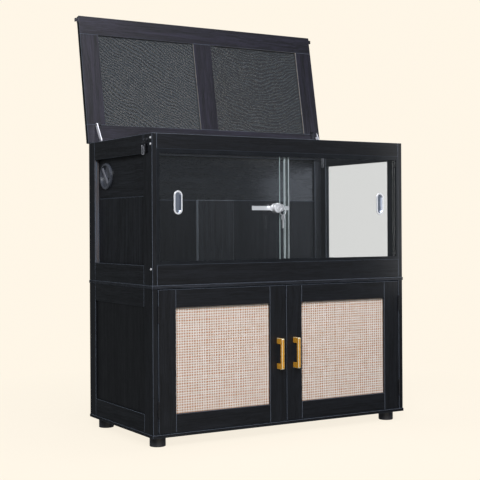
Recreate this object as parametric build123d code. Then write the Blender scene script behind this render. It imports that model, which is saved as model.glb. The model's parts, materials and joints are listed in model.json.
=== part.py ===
from build123d import *

# Reptile terrarium on a cabinet stand. Millimetres, +Z up, the front faces -Y.
# The floor is Z = 0, and X = 0 is the middle of the width. Y = 0 is the middle
# of the whole depth, from the handles to the top edge of the raised lid.

import math
import os

# ---- driving dimensions ---------------------------------------------------------
width, depth = 965.0, 483.0  # outside of the box and of the cabinet
cabinet_h = 465.0  # from the underside of the base to the top of the cabinet
box_h = 465.0  # terrarium box without its lid
foot_h, foot_r = 32.0, 25.0
foot_side, foot_back = 38.0, 48.0  # a foot's centre from the sides, and from front and rear

board = 16.0  # posts, rails and door frames
edge = 0.8  # bevel on the edges of the boards
base_t, top_t, floor_t = 10.0, 10.0, 10.0
overhang = 2.0  # base and top board beyond the cabinet's sides
panel_t, groove_d = 5.0, 8.0  # thin panels, and how deep the frames hold them
board_in = 9.0  # boards inside the terrarium's left and back walls

post_front, post_rear = 61.0, 48.0  # widths of the side frames' posts
rail_h = 60.0  # side rails of the terrarium
cabinet_rail_h = 57.0  # side rails of the cabinet
back_in = 3.0  # cabinet back inside the rear edges

# sliding glass front
front_deep = 28.0  # front rails, and how far back the lid starts
head_h, sill_h = 47.0, 63.0  # front rails above and below the glass
track_deep, track_wall = 18.0, 2.0
head_lip, sill_lip, jamb_t = 13.0, 10.0, 9.0
glass, pane_overlap, pane_seat = 5.0, 38.0, 3.0
seal_w, seal_t = 16.0, 1.2
pull_l, pull_w, pull_lip = 74.0, 30.0, 1.6
pull_edge, pull_rim, pull_floor = 3.0, 5.0, 1.0  # rim over the glass and in all, bottom
pull_soft = 0.7  # rounding of the rim's edges
pull_in = 75.0  # a pull's centre from the pane's outer edge

# back wall
joint_share = 0.59  # where the inner boards are joined, as a share of the box's height
batten_w, batten_t, corner_w, corner_t = 148.0, 15.0, 29.0, 9.0
rear_rail_h = 34.0

# vent in the left wall
vent_r, vent_hole, vent_wall, vent_lip = 44.0, 36.0, 2.0, 8.0
vent_side, vent_down = 21.0, 13.0  # from the rear post and from the top rail
vane_turn, vane_sweep = 50.0, 84.0  # degrees: where the openings lie, how wide
grille_t, vent_land, rib_pitch, rib_w = 3.0, 4.0, 8.0, 1.6
grip_w, grip_t = 8.0, 5.0

# lid
lid_t, lid_gap = 18.0, 0.3
lid_stile, lid_mid, lid_rail = 69.0, 73.0, 65.0
mesh_t, mesh_up = 1.2, 8.0
lid_open = 100.4  # degrees, from shut to leaning back on its stays

# butt hinges of the lid
pin_r, pin_fit = 1.2, 0.05
knuckle_r, leaf_t, hinge_w, hinge_x = 2.7, 1.3, 60.0, 330.0
leaf_down, leaf_up = 30.0, 17.0  # reach of the two leaves from the pin

# folding stays: lid pivot and wall pivot; the links complete a parallelogram
stay_along, stay_off = 61.0, 10.0
stay_back, stay_down = 37.0, 57.0
link_t, link_w, rivet_r, rivet_head = 2.5, 14.0, 2.5, 1.0
plate_t, plate_top = 2.0, 12.0  # wall plate, and how far it stops below the rim
ear_w, ear_drop, bracket_w, bracket_l = 18.0, 7.0, 16.0, 26.0

# draw latches on the front posts
latch_back, latch_w, latch_h = 42.0, 30.0, 46.0
latch_down, latch_out, latch_t = 27.0, 5.5, 1.5  # lever pivot, base plate
lever_l, lever_t, latch_pin = 31.0, 2.8, 1.3
bail_r, bail_l, bail_out, bail_down = 1.3, 28.0, 4.2, 9.0
strike_w, strike_h, hook_w, hook_out = 18.0, 14.0, 12.0, 11.0  # on the lid's ends

# cabinet doors
door_gap, door_top, door_sill, door_mid = 3.0, 3.0, 2.0, 3.0
door_stile, door_rail = 60.0, 57.0
rattan_t, bead, rebate_d = 2.0, 9.0, 6.0
door_open = 110.0
door_knuckle, door_leaf, door_hinge_h, door_hinge_in = 2.5, 1.2, 50.0, 75.0
bar, bar_l, bar_out, bar_leg = 9.0, 100.0, 31.0, 18.0

# ratchet lock of the glass doors
lock_r, lock_deep, lock_up = 16.0, 22.0, 238.0
plug_r, bow_r, bow_out, spare_r, spare_l = 6.0, 11.0, 20.0, 9.5, 40.0
ratchet_h, ratchet_t, ratchet_l, hook_l = 14.0, 1.6, 141.0, 15.0
tooth, tooth_d = 4.0, 1.8
key_t, key_hole, ring_r, wire_r = 2.0, 2.6, 11.0, 0.9

# screws of the side frames
screw_r, screw_t, screw_in = 3.6, 1.8, 9.0
screw_down, screw_next, screw_up = 14.0, 19.0, 50.0

clear = 0.3  # between pieces that move past each other
fit = 0.2  # round a panel in its groove

# ---- derived positions ------------------------------------------------------------
left, right = -width / 2, width / 2
lid_len = depth - front_deep - clear
lean = math.radians(lid_open - 90)
lid_reach = lid_len * math.sin(lean) + (lid_t + knuckle_r) * math.cos(lean)
front = -(depth + lid_reach - bar_out) / 2
rear = front + depth

z_base = foot_h + base_t  # top of the base board
z_cab = foot_h + cabinet_h  # top of the cabinet
z_under = z_cab - top_t
z_floor = z_cab + floor_t  # inside floor of the terrarium
z_rim = z_cab + box_h
z_joint = z_cab + joint_share * box_h  # joint between the lower and upper inner boards
z_sill = z_cab + sill_h  # underside of the lower track
z_head = z_rim - head_h  # underside of the front head rail
z_open0, z_open1 = z_sill + sill_lip, z_head - head_lip

inner = left + board  # inside face of the side frames
channel = (track_deep - 3 * track_wall) / 2
pane_front = front + track_wall + (channel - glass) / 2
pane_rear = pane_front + channel + track_wall
pane_x = inner + track_wall + 1
pane_w = (-2 * pane_x + pane_overlap) / 2
pane_z0, pane_z1 = z_sill + track_wall + clear, z_open1 + pane_seat

hinge_y = rear + knuckle_r + clear
lid_z = z_rim + lid_gap
lid_front, lid_back = front + front_deep + clear, rear
lid_axis = Axis((0, hinge_y, z_rim), (1, 0, 0))

door_z0, door_z1 = z_base + door_sill, z_under - door_top
door_x0 = inner + door_gap
door_x1 = -door_mid / 2
door_pin = (inner + door_gap / 2, front - door_knuckle - clear)


# ---- helpers ------------------------------------------------------------------------
def block(x0, x1, y0, y1, z0, z1):
    """Rectangular bar between two corners."""
    middle = Pos((x0 + x1) / 2, (y0 + y1) / 2, (z0 + z1) / 2)
    return middle * Box(x1 - x0, y1 - y0, z1 - z0)


def rod(axis, x, y, z, r, length):
    """Cylinder centred at a point, along X, Y or Z."""
    turn = {"X": Rot(0, 90, 0), "Y": Rot(90, 0, 0), "Z": Rot(0, 0, 0)}[axis]
    return Pos(x, y, z) * turn * Cylinder(r, length)


def slot_bar(axis, x, y, z, w, h, t):
    """Upright plate with round ends, t thick along the axis."""
    turn = {"X": Plane.YZ, "Y": Plane.XZ}[axis]
    flat = extrude(turn * SlotOverall(h, w, 90), t / 2, both=True)
    return Pos(x, y, z) * flat


def link(p, q, x, t, w, holes):
    """Flat link in a YZ plane, from p to q, with a hole radius at each end."""
    length = math.dist(p, q)
    lie = math.degrees(math.atan2(q[1] - p[1], q[0] - p[0]))
    flat = SlotCenterToCenter(length, w)
    for place, r in zip((-length / 2, length / 2), holes):
        if r:
            flat -= Pos(place, 0) * Circle(r)
    bar = extrude(Plane.YZ * Rot(0, 0, lie) * flat, t / 2, both=True)
    return Pos(x, (p[0] + q[0]) / 2, (p[1] + q[1]) / 2) * bar


def mirrored(shape):
    """The same piece on the other side of the middle."""
    return shape.mirror(Plane.YZ)


def both(shape):
    return [shape, mirrored(shape)]


def raised(shape):
    """A lid piece, modelled shut, turned to its open rest."""
    return shape.rotate(lid_axis, -lid_open)


def swing(p, degrees):
    """A point of the lid, as (y, z) from the hinge pin, when opened."""
    a = math.radians(degrees)
    return (
        p[0] * math.cos(a) + p[1] * math.sin(a),
        -p[0] * math.sin(a) + p[1] * math.cos(a),
    )


def save(name, *shapes):
    solids = [s for shape in shapes for s in shape.solids()]
    export_step(Compound(label=name, children=solids), f"parts/{name}.step")


def rounded(solid, axis, r):
    """Rounds the edges that run along an axis."""
    return fillet(solid.edges().filter_by(axis), r)


def softened(solid):
    """Small bevel on every edge of a plain board."""
    return chamfer(solid.edges(), edge)


def plank(*ends):
    """Board between two corners, its edges softened."""
    return softened(block(*ends))


# ---- cabinet ----------------------------------------------------------------------
def frame_groove(x0, t, y0, y1, z0, z1):
    """Space of a panel held in the grooves round an opening."""
    return block(x0, x0 + t, y0 - groove_d, y1 + groove_d, z0 - groove_d, z1 + groove_d)


def side_frame(z0, z1, rail, panel_x, panel):
    """Left side frame: two posts, two rails and the groove of its panel."""
    y0, y1 = front + post_front, rear - post_rear
    cut = frame_groove(panel_x - fit / 2, panel + fit, y0, y1, z0 + rail, z1 - rail)
    posts = [plank(left, inner, front, y0, z0, z1), plank(left, inner, y1, rear, z0, z1)]
    rails = [plank(left, inner, y0, y1, z0, z0 + rail), plank(left, inner, y0, y1, z1 - rail, z1)]
    return [p - cut for p in posts], [r - cut for r in rails]


def cabinet():
    """Base board on four feet, framed sides, back and top board."""
    x = left + foot_side
    feet = [
        Pos(px, py, foot_h / 2) * fillet(Cylinder(foot_r, foot_h).edges(), 2.0)
        for px in (x, -x)
        for py in (front + foot_back, rear - foot_back)
    ]
    save("feet", *feet)
    ends = (left - overhang, right + overhang, front - overhang, rear)
    save("cabinet_base", plank(*ends, foot_h, z_base))
    save("cabinet_top", plank(*ends, z_under, z_cab))

    panel_x = left + 5.0
    posts, rails = side_frame(z_base, z_under, cabinet_rail_h, panel_x, panel_t)
    save("cabinet_side_posts", *[s for p in posts for s in both(p)])
    save("cabinet_side_rails", *[s for p in rails for s in both(p)])
    tongue = groove_d - 1
    panel = block(
        panel_x,
        panel_x + panel_t,
        front + post_front - tongue,
        rear - post_rear + tongue,
        z_base + cabinet_rail_h - tongue,
        z_under - cabinet_rail_h + tongue,
    )
    save("cabinet_side_panels", *both(panel))
    y1 = rear - back_in
    save("cabinet_back", block(inner, -inner, y1 - panel_t, y1, z_base, z_under))


# ---- cabinet doors ------------------------------------------------------------------
def door_frame():
    """Left door's two stiles and two rails, with the rebate for the rattan."""
    y0, y1 = front, front + board
    x0, x1 = door_x0 + door_stile, door_x1 - door_stile
    z0, z1 = door_z0 + door_rail, door_z1 - door_rail
    rebate = block(x0 - bead, x1 + bead, y1 - rebate_d, y1, z0 - bead, z1 + bead)
    bars = [
        plank(door_x0, x0, y0, y1, door_z0, door_z1),
        plank(x1, door_x1, y0, y1, door_z0, door_z1),
        plank(x0, x1, y0, y1, door_z0, z0),
        plank(x0, x1, y0, y1, z1, door_z1),
    ]
    return [b - rebate for b in bars]


def rattan_panel():
    """Woven panel in the rebate, and the four beads that hold it from behind."""
    x0, x1 = door_x0 + door_stile - bead, door_x1 - door_stile + bead
    z0, z1 = door_z0 + door_rail - bead, door_z1 - door_rail + bead
    y0, y1 = front + board - rebate_d, front + board
    sheet = block(x0 + fit, x1 - fit, y0, y0 + rattan_t, z0 + fit, z1 - fit)
    yb = y0 + rattan_t
    beads = [
        block(x0 + fit, x0 + bead, yb, y1, z0 + fit, z1 - fit),
        block(x1 - bead, x1 - fit, yb, y1, z0 + fit, z1 - fit),
        block(x0 + bead, x1 - bead, yb, y1, z0 + fit, z0 + bead),
        block(x0 + bead, x1 - bead, yb, y1, z1 - bead, z1 - fit),
    ]
    return sheet, beads


def bar_handle():
    """Square bar with a broad leg back to the door at each end, for the left door."""
    x, z = door_x1 - door_stile / 2, (door_z0 + door_z1) / 2
    a, y0, top = bar / 2, front - bar_out, bar_l / 2
    solid = block(x - a, x + a, y0, front, z - top, z + top)
    solid = fillet(solid.edges().filter_by(Axis.X).group_by(Axis.Y)[0], 0.5 * bar)
    solid = fillet(solid.edges().filter_by(Axis.Z).group_by(Axis.Y)[0], 0.15 * bar)
    inside = top - bar_leg
    gap = block(x - bar, x + bar, y0 + bar, front + bar, z - inside, z + inside)
    return solid - rounded(gap, Axis.X, 0.3 * bar)


def door_hinge(z):
    """Butt hinge in the gap beside the left door: fixed leaf, moving leaf, pin."""
    x, y = door_pin
    h, third = door_hinge_h, door_hinge_h / 3
    deep = front + board - 2
    bore = rod("Z", x, y, z, pin_r + pin_fit, h + 2)
    x0 = x - door_gap / 2
    fixed = block(x0, x0 + door_leaf, y, deep, z - h / 2, z + h / 2)
    moving = mirror_about(fixed, x)
    ends = [rod("Z", x, y, z + s * third, door_knuckle, third) for s in (-1, 1)]
    room = door_knuckle + clear
    middle = block(x - room, x + room, y - room, front - 0.05, z - third / 2, z + third / 2)
    fixed = fixed - middle + ends[0] + ends[1] - bore
    tall = h / 2 + 1
    for s in (-1, 1):
        z0, z1 = sorted((z + s * (third / 2 - clear), z + s * tall))
        moving -= block(x - room, x + room, y - room, front - 0.05, z0, z1)
    knuckle = rod("Z", x, y, z, door_knuckle, third - 2 * clear)
    moving = moving + knuckle - bore
    pin = rod("Z", x, y, z, pin_r, h)
    return fixed, moving, pin


def mirror_about(shape, x):
    return shape.mirror(Plane.YZ.offset(x))


def doors():
    """Two inset doors: frames, rattan, handles and hinges."""
    frame = door_frame()
    sheet, beads = rattan_panel()
    handle = bar_handle()
    heights = (door_z0 + door_hinge_in, door_z1 - door_hinge_in)
    hinges = [door_hinge(z) for z in heights]
    leaves = [h[1] for h in hinges]
    for side, turn in (("left", lambda s: s), ("right", mirrored)):
        save(f"door_{side}_frame", *[turn(s) for s in frame + beads])
        save(f"door_{side}_rattan", turn(sheet))
        save(f"door_{side}_handle", turn(handle))
        save(f"door_{side}_hinge_leaves", *[turn(s) for s in leaves])
    fixed = [piece for h in hinges for piece in (h[0], h[2])]
    save("door_hinge_plates", *[s for piece in fixed for s in both(piece)])


# ---- terrarium box -------------------------------------------------------------------
def box_frames():
    """Side frames, front rails, rear rail and floor."""
    window_x = left + (board - glass) / 2
    posts, rails = side_frame(z_cab, z_rim, rail_h, window_x, glass)
    plain_posts, plain_rails = side_frame(z_cab, z_rim, rail_h, left - 90, 1)
    save("terrarium_posts", *plain_posts, *[mirrored(p) for p in posts])
    save("terrarium_side_rails", *plain_rails, *[mirrored(p) for p in rails])
    tongue = groove_d - 1
    pane = block(
        window_x,
        window_x + glass,
        front + post_front - tongue,
        rear - post_rear + tongue,
        z_cab + rail_h - tongue,
        z_rim - rail_h + tongue,
    )
    save("side_window", mirrored(pane))
    deep, back = front + front_deep, rear - board_in
    head = plank(inner, -inner, front, deep, z_head, z_rim)
    save("front_rails", head, plank(inner, -inner, front, deep, z_cab, z_sill))
    save("rear_rail", plank(inner, -inner, back - board, back, z_rim - rear_rail_h, z_rim))
    floor = block(inner + board_in, -inner, deep, back, z_cab, z_floor)
    for batten in battens():
        floor -= batten
    save("terrarium_floor", floor)


def battens():
    """Middle batten behind the boards' joint, and one in each rear corner."""
    y1, top = rear - board_in, z_rim - rear_rail_h
    half, out = batten_w / 2, inner + corner_w
    return [
        plank(-half, half, y1 - batten_t, y1, z_cab, z_joint),
        plank(inner + board_in, out, y1 - corner_t, y1, z_cab, top),
        plank(-out, -inner, y1 - corner_t, y1, z_cab, top),
    ]


def back_wall():
    """Three back boards, with the joints between them, and their battens."""
    y0, y1 = rear - board_in, rear
    lower = plank(inner, 0, y0, y1, z_cab, z_joint)
    upper = plank(inner, -inner, y0, y1, z_joint, z_rim)
    save("back_boards", upper, lower, mirrored(lower))
    save("back_battens", *battens())


def vent_centre():
    """In the upper rear corner of the left wall's opening."""
    return rear - post_rear - vent_side - vent_r, z_rim - rail_h - vent_down - vent_r


def sectors(r, x0, x1):
    """Two opposite sector openings round the vent's centre."""
    y, z = vent_centre()
    out = []
    for turn in (0, 180):
        a = math.radians(vane_turn + turn)
        reach = 2.4 * r
        half = math.radians(vane_sweep / 2)
        pts = [
            (0.16 * r * math.cos(a), 0.16 * r * math.sin(a)),
            (reach * math.cos(a - half), reach * math.sin(a - half)),
            (reach * math.cos(a + half), reach * math.sin(a + half)),
        ]
        sketch = make_face(Polyline(*pts, close=True)) & (Circle(r) - Circle(0.22 * r))
        out.append(Pos(x0, y, z) * extrude(Plane.YZ * sketch, x1 - x0))
    return out


def vent():
    """Round vent: bezel, fixed grille and a turning shutter with a grip bar."""
    y, z = vent_centre()
    face, wall = inner - vent_lip, inner
    ring = rod("X", (face + wall) / 2, y, z, vent_r, vent_lip)
    ring = chamfer(ring.faces().sort_by(Axis.X)[0].edges(), 2.5)
    ring -= rod("X", (face + wall) / 2, y, z, vent_hole, vent_lip + 2)
    sleeve = rod("X", inner + board_in / 2, y, z, vent_hole + vent_wall, board_in)
    sleeve -= rod("X", inner + board_in / 2, y, z, vent_hole, board_in + 2)

    grille = rod("X", wall + grille_t / 2, y, z, vent_hole, grille_t)
    for cut in sectors(vent_hole - vent_land, wall - 1, wall + grille_t + 1):
        grille -= cut
    for k in (-3, -2, -1, 1, 2, 3):
        off = k * rib_pitch
        reach = math.sqrt((vent_hole - 1) ** 2 - off**2)
        ends = (y + off - rib_w / 2, y + off + rib_w / 2, z - reach, z + reach)
        grille += block(wall + grille_t / 3, wall + grille_t * 5 / 6, *ends)
    save("vent_bezel", ring + sleeve + grille)

    disc_t = grille_t - 2 * clear
    disc = rod("X", wall - grille_t / 2, y, z, vent_hole - clear, disc_t)
    for cut in sectors(vent_hole - vent_land, wall - grille_t - 1, wall + 1):
        disc -= cut
    grip = Rot(vane_turn - 90, 0, 0) * Box(grip_t, grip_w, 2 * vent_hole - 6)
    disc += Pos(wall - clear - disc_t / 2 - grip_t / 2 - 1, y, z) * grip
    save("vent_shutter", disc)


def left_wall():
    """Two stacked boards inside the left frame, the upper one with the vent."""
    y, z = vent_centre()
    y0, y1 = front + front_deep, rear - board_in
    x0, x1 = inner, inner + board_in
    upper = plank(x0, x1, y0, y1, z_joint, z_rim)
    upper -= rod("X", (x0 + x1) / 2, y, z, vent_hole + vent_wall, board_in + 2)
    upper -= block(x0 - 1, x1 + 1, y1 - board, y1 + 1, z_rim - rear_rail_h, z_rim + 1)
    lower = plank(x0, x1, y0, y1, z_cab, z_joint)
    save("left_wall_boards", upper, lower)


# ---- glass front --------------------------------------------------------------------
def e_track(lip):
    """Section of a double track, channels upward, from its front lower corner."""
    section = Pos(track_deep / 2, lip / 2) * Rectangle(track_deep, lip)
    for k in (0, 1):
        y = track_wall + channel / 2 + k * (channel + track_wall)
        rise = lip - track_wall
        section -= Pos(y, track_wall + rise / 2) * Rectangle(channel, rise)
    return section


def tracks():
    """Lower and upper double tracks and the double jambs at both ends."""
    run = -2 * inner
    sill = extrude(Plane.YZ * e_track(sill_lip), run / 2, both=True)
    save("lower_track", Pos(0, front, z_sill) * sill)
    head = extrude(Plane.YZ * e_track(head_lip), run / 2, both=True)
    head = head.mirror(Plane.XY)
    save("upper_track", Pos(0, front, z_head) * head)
    tall = z_open1 - z_open0
    jamb = extrude(Plane.YX * e_track(jamb_t), tall / 2, both=True)
    save("track_jambs", *both(Pos(inner, front, (z_open0 + z_open1) / 2) * jamb))


def pane(x0, y0, pull_x):
    """Glass pane with the through opening of its finger pull."""
    sheet = block(x0, x0 + pane_w, y0, y0 + glass, pane_z0, pane_z1)
    z = pull_z()
    w, length = pull_w - 2 * pull_edge, pull_l - 2 * pull_edge
    return sheet - slot_bar("Y", pull_x, y0 + glass / 2, z, w, length, 2 * glass)


def pull_z():
    return (z_open0 + z_open1) / 2 + 15


def finger_pull(x, y0):
    """Shallow cup through the glass with a flat rim on its front."""
    z = pull_z()
    w, length = pull_w - 2 * pull_edge, pull_l - 2 * pull_edge
    cup = slot_bar("Y", x, y0 + glass / 2, z, w, length, glass)
    rim = slot_bar("Y", x, y0 - pull_lip / 2, z, pull_w, pull_l, pull_lip)
    rim = fillet(rim.faces().sort_by(Axis.Y)[0].edges(), pull_soft)
    deep = glass - pull_floor
    w, length = pull_w - 2 * pull_rim, pull_l - 2 * pull_rim
    return cup + rim - slot_bar("Y", x, y0 + deep - (deep + 2) / 2, z, w, length, deep + 2)


def glass_doors():
    """Left pane in the rear channel, right pane in the front channel."""
    end = pane_x + pane_w  # right edge of the left pane
    start = -end  # left edge of the right pane
    for side, x0, y0, pull_x in (
        ("left", pane_x, pane_rear, pane_x + pull_in),
        ("right", start, pane_front, -pane_x - pull_in),
    ):
        save(f"glass_{side}_pane", pane(x0, y0, pull_x))
        save(f"glass_{side}_pull", finger_pull(pull_x, y0))

    save("glass_left_seal", seal(end))
    save("ratchet_bar", ratchet_bar(end))


def seal(end):
    """Clear seal on the left pane's meeting edge, cut away round the ratchet bar."""
    y0, y1, z = pane_rear, pane_rear + glass, z_cab + lock_up
    shell = block(end - seal_w, end + seal_t, y0 - seal_t, y1 + seal_t, z_open0 + 1, z_open1 - 1)
    shell -= block(end - 2 * seal_w, end, y0, y1, pane_z0, pane_z1)
    room = ratchet_h / 2 + 1
    return shell - block(end - 2 * seal_w, end + 3, y0 - 4, y1 + 4, z - room, z + room)


def ratchet_bar(end):
    """Toothed strip on the left pane, hooked round the pane's meeting edge."""
    y0, y1, z = pane_rear, pane_rear + glass, z_cab + lock_up
    z0, z1 = z - ratchet_h / 2, z + ratchet_h / 2
    tip = end + ratchet_t
    strip = block(end - ratchet_l, tip, y0 - ratchet_t, y0, z0, z1)
    for k in range(int(ratchet_l / tooth / 2)):
        x = end - ratchet_l + (k + 2) * tooth
        notch = Polyline((x, z1 + 1), (x, z1 - tooth_d), (x + tooth, z1 + 0.2), close=True)
        strip -= Pos(0, y0 + 1, 0) * extrude(make_face(Plane.XZ * notch), ratchet_t + 2)
    strip += block(end, tip, y0 - ratchet_t, y1 + ratchet_t, z0, z1)
    return strip + block(end - hook_l, tip, y1, y1 + ratchet_t, z0, z1)


def lock():
    """Lock body beside the right pane's edge, its key, ring and spare key."""
    x, z = -(pane_x + pane_w) - clear - lock_r, z_cab + lock_up
    back = pane_rear - ratchet_t - clear
    y = back - lock_deep / 2
    body = rod("Y", x, y, z, lock_r, lock_deep)
    body = chamfer(body.faces().sort_by(Axis.Y)[0].edges(), 1.5)
    body += block(x - lock_r, x, back - 6, back, z - 9, z + 9)
    body -= rod("Y", x, back - lock_deep, z, plug_r, 4 * plug_r)
    save("lock_body", body)

    face = back - lock_deep
    plug = rod("Y", x, face + plug_r, z, plug_r - 0.1, 2 * plug_r)
    neck = bow_out - 0.7 * bow_r
    shank = block(x - key_t / 2, x + key_t / 2, face - neck, face + 1, z - 3.5, z + 3.5)
    bow = rod("X", x, face - bow_out, z, bow_r, key_t)
    hole_y, hang = face - bow_out - bow_r / 2, key_hole - wire_r - 0.05
    bow -= rod("X", x, hole_y, z, key_hole, key_t + 2)
    save("lock_key", plug + shank + bow)

    top = z - hang
    ring = Pos(x, hole_y, top - ring_r) * Rot(90, 0, 0) * Torus(ring_r, wire_r)
    low = top - 2 * ring_r - hang
    spare = rod("X", x, hole_y, low - 0.6 * spare_r, spare_r, key_t)
    spare -= rod("X", x, hole_y, low, key_hole, key_t + 2)
    blade = (hole_y - 3.5, hole_y + 3.5, low - spare_l, low - spare_r)
    spare += block(x - key_t / 2, x + key_t / 2, *blade)
    save("key_ring", ring, spare)


# ---- lid -------------------------------------------------------------------------------
def lid():
    """Framed lid with two mesh panels in grooves."""
    z0, z1 = lid_z, lid_z + lid_t
    y0, y1 = lid_front, lid_back
    ya, yb = y0 + lid_rail, y1 - lid_rail
    bays = [(left + lid_stile, -lid_mid / 2), (lid_mid / 2, right - lid_stile)]
    grooves = [
        block(
            a - groove_d, b + groove_d, ya - groove_d, yb + groove_d,
            z0 + mesh_up, z0 + mesh_up + mesh_t + fit,
        )
        for a, b in bays
    ]
    rails = [plank(left, right, y0, ya, z0, z1), plank(left, right, yb, y1, z0, z1)]
    stiles = [
        plank(left, bays[0][0], ya, yb, z0, z1),
        plank(bays[0][1], bays[1][0], ya, yb, z0, z1),
        plank(bays[1][1], right, ya, yb, z0, z1),
    ]
    for name, bars in (("lid_rails", rails), ("lid_stiles", stiles)):
        save(name, *[raised(b - grooves[0] - grooves[1]) for b in bars])
    tongue = groove_d - 1
    z = z0 + mesh_up + fit / 2
    sheets = [
        block(a - tongue, b + tongue, ya - tongue, yb + tongue, z, z + mesh_t)
        for a, b in bays
    ]
    save("lid_mesh", *[raised(s) for s in sheets])


def lid_hinge(x):
    """Butt hinge on the back: leaf on the rear rail, leaf on the lid, pin."""
    w, third = hinge_w, hinge_w / 3
    y, z = hinge_y, z_rim
    bore = rod("X", x, y, z, pin_r + pin_fit, w + 2)
    below = block(x - w / 2, x + w / 2, rear, rear + leaf_t, z - leaf_down, z - knuckle_r - 0.4)
    fixed = below
    for s in (-1, 1):
        knuckle = rod("X", x + s * third, y, z, knuckle_r, third)
        tab = block(
            x + s * third - third / 2, x + s * third + third / 2,
            rear + clear, rear + leaf_t, z - knuckle_r - 1, z,
        )
        fixed = fixed + knuckle + tab
    moving = block(x - w / 2, x + w / 2, rear, rear + leaf_t, z + knuckle_r + 0.4, z + leaf_up)
    half = third / 2 - clear
    moving += rod("X", x, y, z, knuckle_r, 2 * half)
    moving += block(x - half, x + half, rear + clear, rear + leaf_t, z, z + knuckle_r + 1)
    pin = rod("X", x, y, z, pin_r, w)
    return fixed - bore, raised(moving - bore), pin


def lid_hinges():
    hinges = [lid_hinge(x) for x in (-hinge_x, 0, hinge_x)]
    save("lid_hinge_plates", *[s for h in hinges for s in (h[0], h[2])])
    save("lid_hinge_leaves", *[h[1] for h in hinges])


def stay_points():
    """Lid pivot, shut and raised, wall pivot, and elbow, raised and shut.

    They are measured from the hinge pin, which is the parallelogram's fourth corner.
    """
    shut = (-stay_along - knuckle_r - clear, lid_gap - stay_off)
    open_ = swing(shut, lid_open)
    wall = (-stay_back, -stay_down)
    knees = [(p[0] + wall[0], p[1] + wall[1]) for p in (open_, shut)]
    return shut, open_, wall, *knees


def wall_plate(x, s, y, z, pin_x):
    """Plate on the wall at x, with the rivet of the lower link; s points inward."""
    w = link_w / 2 + 1
    middle = x + s * plate_t / 2
    plate = block(*sorted((x, x + s * plate_t)), y - w, y + w, z, z_rim - plate_top)
    plate += rod("X", middle, y, z, w, plate_t)
    return plate + rod("X", (middle + pin_x) / 2, y, z, rivet_r, abs(pin_x - middle))


def lid_bracket(x, s, y, z, pin_x):
    """Angle bracket under the lid, modelled shut, with the upper link's rivet."""
    ear = block(x - 1, x + 1, y - ear_w / 2, y + ear_w / 2, z - ear_drop, lid_z)
    x0, x1 = sorted((x - s, x + s * bracket_w))
    foot = block(x0, x1, y - bracket_l / 2, y + bracket_l / 2, lid_z - plate_t, lid_z)
    rivet = rod("X", (pin_x + x) / 2, y, z, rivet_r, abs(pin_x - x))
    return raised(ear + foot + rivet)


def stay(wall_x, side):
    """One folding stay beside a wall whose inside face is at wall_x."""
    shut, open_, wall, knee, _ = stay_points()

    def here(p):
        return p[0] + hinge_y, p[1] + z_rim

    p, q, e = here(open_), here(wall), here(knee)
    s = 1 if side == "left" else -1
    half, bore = s * link_t / 2, rivet_r + pin_fit
    low_x = wall_x + s * (plate_t + clear) + half
    high_x = low_x + s * (link_t + clear)

    plate = wall_plate(wall_x, s, *q, low_x + half + s * rivet_head)
    lower = link(q, e, low_x, link_t, link_w, (bore, 0))
    tip = high_x + half + s * rivet_head
    lower += rod("X", (low_x + tip) / 2, *e, rivet_r, abs(tip - low_x))
    save(f"stay_{side}_lower_link", lower)
    save(f"stay_{side}_upper_link", link(p, e, high_x, link_t, link_w, (bore, bore)))

    ear_x = high_x + half + s * (clear + 1.0)
    bracket = lid_bracket(ear_x, s, *here(shut), high_x - half - s * rivet_head)
    return plate, bracket


def stays():
    pairs = [stay(inner + board_in, "left"), stay(-inner, "right")]
    save("stay_wall_plates", *[p[0] for p in pairs])
    save("stay_lid_brackets", *[p[1] for p in pairs])


# ---- draw latches ----------------------------------------------------------------------
def latch_place():
    """Lever pivot of the left latch: x, y, z."""
    return left - latch_out, front + latch_back, z_rim - latch_down


def latch_base():
    """Left base plate with two ears, and the lever's pin."""
    x, y, z = latch_place()
    w = latch_w / 2
    base = block(left - latch_t, left, y - w, y + w, z - latch_h + 15, z + 15)
    base = rounded(base, Axis.X, 2 * latch_t)
    for s in (-1, 1):
        ear_y = y + s * (w - 1.8)
        base += block(x - 2.5, left - 1, ear_y - 0.9, ear_y + 0.9, z - 4, z + 4)
    return base, rod("Y", x, y, z, latch_pin, latch_w - 2)


def latch_lever():
    """Left lever, hanging shut, with the lugs that carry the bail."""
    x, y, z = latch_place()
    in_w, half = latch_w / 2 - 3.2, lever_t / 2
    lever = block(x - half, x + half, y - in_w, y + in_w, z - lever_l, z)
    lever += rod("Y", x, y, z, 2 * latch_pin, 2 * in_w)
    lever += block(x - 5, x + half, y - 4.2, y + 4.2, z - lever_l - 2, z - lever_l)
    bx, bz = x - bail_out, z - bail_down
    for s in (-1, 1):
        lug_y = y + s * (in_w - 3)
        lever += block(bx - 2.2, x, lug_y - 1, lug_y + 1, bz - 2.4, bz + 2.4)
    lever -= rod("Y", x, y, z, latch_pin + pin_fit, latch_w)
    return lever - rod("Y", bx, y, bz, bail_r + 2 * pin_fit, latch_w)


def latch_bail():
    """Left wire loop, hanging from the lever's lugs."""
    x, y, z = latch_place()
    bx, bz = x - bail_out, z - bail_down
    half = latch_w / 2 - 3.2 - 3 - 1 - clear - bail_r
    bail = rod("Y", bx, y, bz - bail_l, bail_r, 2 * half)
    for s in (-1, 1):
        bail += rod("Z", bx, y + s * half, bz - bail_l / 2, bail_r, bail_l)
        bail += rod("Y", bx, y + s * (half + 2.2), bz, bail_r, 4.4)
        for zz in (bz, bz - bail_l):
            bail += Pos(bx, y + s * half, zz) * Sphere(bail_r)
    return bail


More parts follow.
